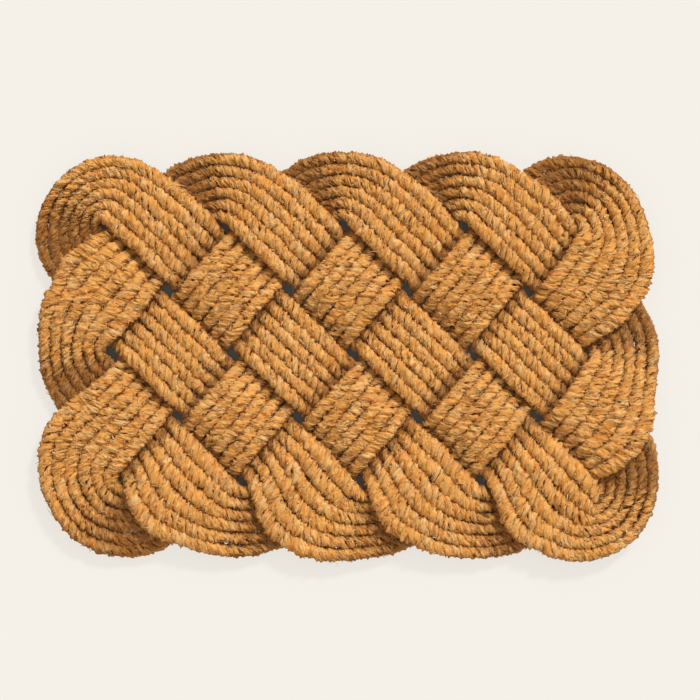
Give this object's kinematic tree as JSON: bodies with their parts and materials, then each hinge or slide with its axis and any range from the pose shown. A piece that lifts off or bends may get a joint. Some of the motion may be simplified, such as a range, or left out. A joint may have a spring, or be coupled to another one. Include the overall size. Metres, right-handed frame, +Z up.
{
  "type": "door mat",
  "caption": "Rectangular door mat woven by hand from thick coir rope: a flat band of ropes lying side by side laced over and under itself, with rounded loops along every edge.",
  "frame": {"origin": "on the floor, under the middle of the mat's outline", "axes": "+X along the long side, +Y along the short side towards the edge where the upper ropes of the loops run down to the right, +Z up, away from the floor"},
  "size_m": [0.757, 0.4968, 0.0288],
  "materials": {
    "coir_rope": "rough natural coir fibre, three strands twisted to the right",
    "whipping_twine": "wound coir yarn",
    "seizing_twine": "wound coir yarn"
  },
  "bodies": {
    "root": {"coir_rope_1": "coir_rope", "coir_rope_2": "coir_rope", "coir_rope_3": "coir_rope", "coir_rope_4": "coir_rope", "coir_rope_5": "coir_rope", "coir_rope_6": "coir_rope", "end_whipping_1a": "whipping_twine", "end_whipping_1b": "whipping_twine", "end_whipping_2a": "whipping_twine", "end_whipping_2b": "whipping_twine", "end_whipping_3a": "whipping_twine", "end_whipping_3b": "whipping_twine", "end_whipping_4a": "whipping_twine", "end_whipping_4b": "whipping_twine", "end_whipping_5a": "whipping_twine", "end_whipping_5b": "whipping_twine", "end_whipping_6a": "whipping_twine", "end_whipping_6b": "whipping_twine", "joint_seizing_1": "seizing_twine", "joint_seizing_2": "seizing_twine", "joint_seizing_3": "seizing_twine", "joint_seizing_4": "seizing_twine", "joint_seizing_5": "seizing_twine", "joint_seizing_6": "seizing_twine"}
  },
  "joints": []
}
